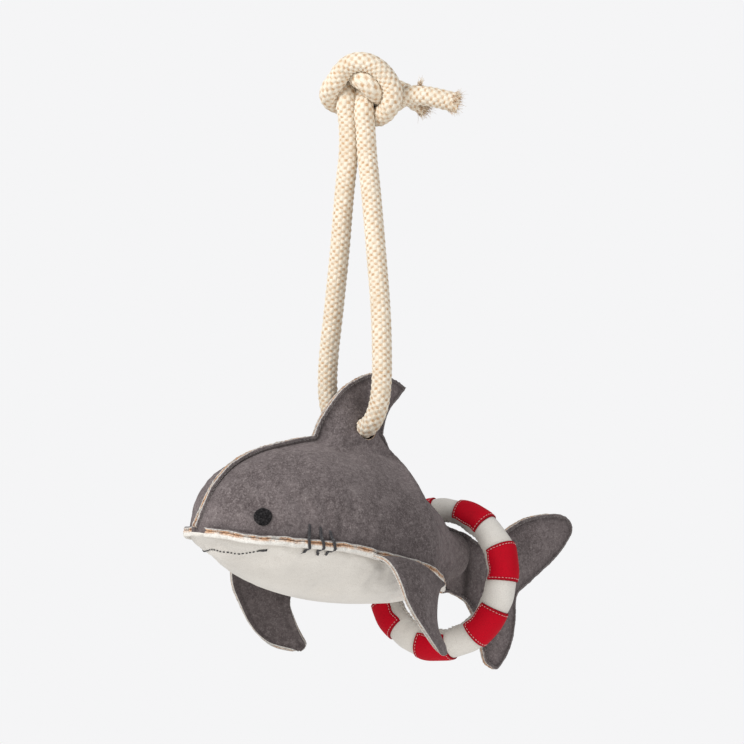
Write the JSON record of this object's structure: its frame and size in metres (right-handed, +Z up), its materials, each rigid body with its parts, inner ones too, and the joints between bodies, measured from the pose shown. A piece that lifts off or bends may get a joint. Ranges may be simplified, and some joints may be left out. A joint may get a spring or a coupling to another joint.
{
  "type": "plush shark hanging toy",
  "caption": "Stuffed suede shark with a white belly, hung on a knotted braided rope through its dorsal fin, with a loose striped life-buoy ring round its tail.",
  "frame": {"origin": "the point where a hook goes: between the two rope strands, just below the knot", "axes": "+X towards the tail, so the nose points to -X; the shark's left side is at -Y; +Z up, as the toy hangs"},
  "size_m": [0.348, 0.1962, 0.4427],
  "materials": {
    "grey_suede": "napped grey suede, mottled",
    "white_leather": "soft white leather, fine grain",
    "red_leather": "red leather, fine grain",
    "eye_patch": "black, matt",
    "black_thread": "twisted black thread",
    "seam_thread": "twisted pale thread",
    "filling": "loose fibre wadding",
    "rope": "braided cream cotton with tan jute flecks"
  },
  "bodies": {
    "rope": {"rope_loop": "rope", "rope_knot": "rope", "rope_front_tail": "rope", "rope_back_tail": "rope"},
    "shark": {"left_side_panel": "grey_suede", "right_side_panel": "grey_suede", "belly_panel": "white_leather", "body_filling": "filling", "dorsal_filling": "filling", "left_eye": "eye_patch", "right_eye": "eye_patch", "left_mouth_thread": "black_thread", "right_mouth_thread": "black_thread", "left_gill_threads": "black_thread", "right_gill_threads": "black_thread", "back_seam_thread": "seam_thread", "left_belly_seam_thread": "seam_thread", "right_belly_seam_thread": "seam_thread"},
    "tail": {"left_tail_panel": "grey_suede", "right_tail_panel": "grey_suede", "tail_filling": "filling"},
    "left_fin": {"left_pectoral_fin": "grey_suede"},
    "right_fin": {"right_pectoral_fin": "grey_suede"},
    "ring": {"ring_cover": "white_leather", "ring_filling": "filling", "ring_seam_thread": "seam_thread", "ring_patch_1": "red_leather", "ring_patch_2": "red_leather", "ring_patch_3": "red_leather", "ring_patch_4": "red_leather", "ring_patch_5": "red_leather", "ring_patch_6": "red_leather", "ring_patch_7": "red_leather"}
  },
  "joints": [
    {"name": "shark_swing", "type": "hinge", "parent": "rope", "child": "shark", "pos_m": [0, 0, -0.213], "axis": [0, 1, 0], "range_deg": [-20, 20]},
    {"name": "ring_swing", "type": "hinge", "parent": "shark", "child": "ring", "pos_m": [0.0899, 0.0031, -0.2835], "axis": [-0.9254, -0.3368, 0.1736], "range_deg": [-18, 3]},
    {"name": "tail_bend", "type": "hinge", "parent": "shark", "child": "tail", "pos_m": [0.105, 0, -0.313], "axis": [0, 0, 1], "range_deg": [-15, 15], "stiffness_Nm_per_rad": 0.15},
    {"name": "left_fin_flap", "type": "hinge", "parent": "shark", "child": "left_fin", "pos_m": [-0.006, -0.0712, -0.3045], "axis": [0.9456, 0.0973, -0.3105], "range_deg": [-25, 10], "stiffness_Nm_per_rad": 0.06},
    {"name": "right_fin_flap", "type": "hinge", "parent": "shark", "child": "right_fin", "pos_m": [-0.006, 0.0712, -0.3045], "axis": [-0.9456, 0.0973, 0.3105], "range_deg": [-25, 10], "stiffness_Nm_per_rad": 0.06}
  ]
}
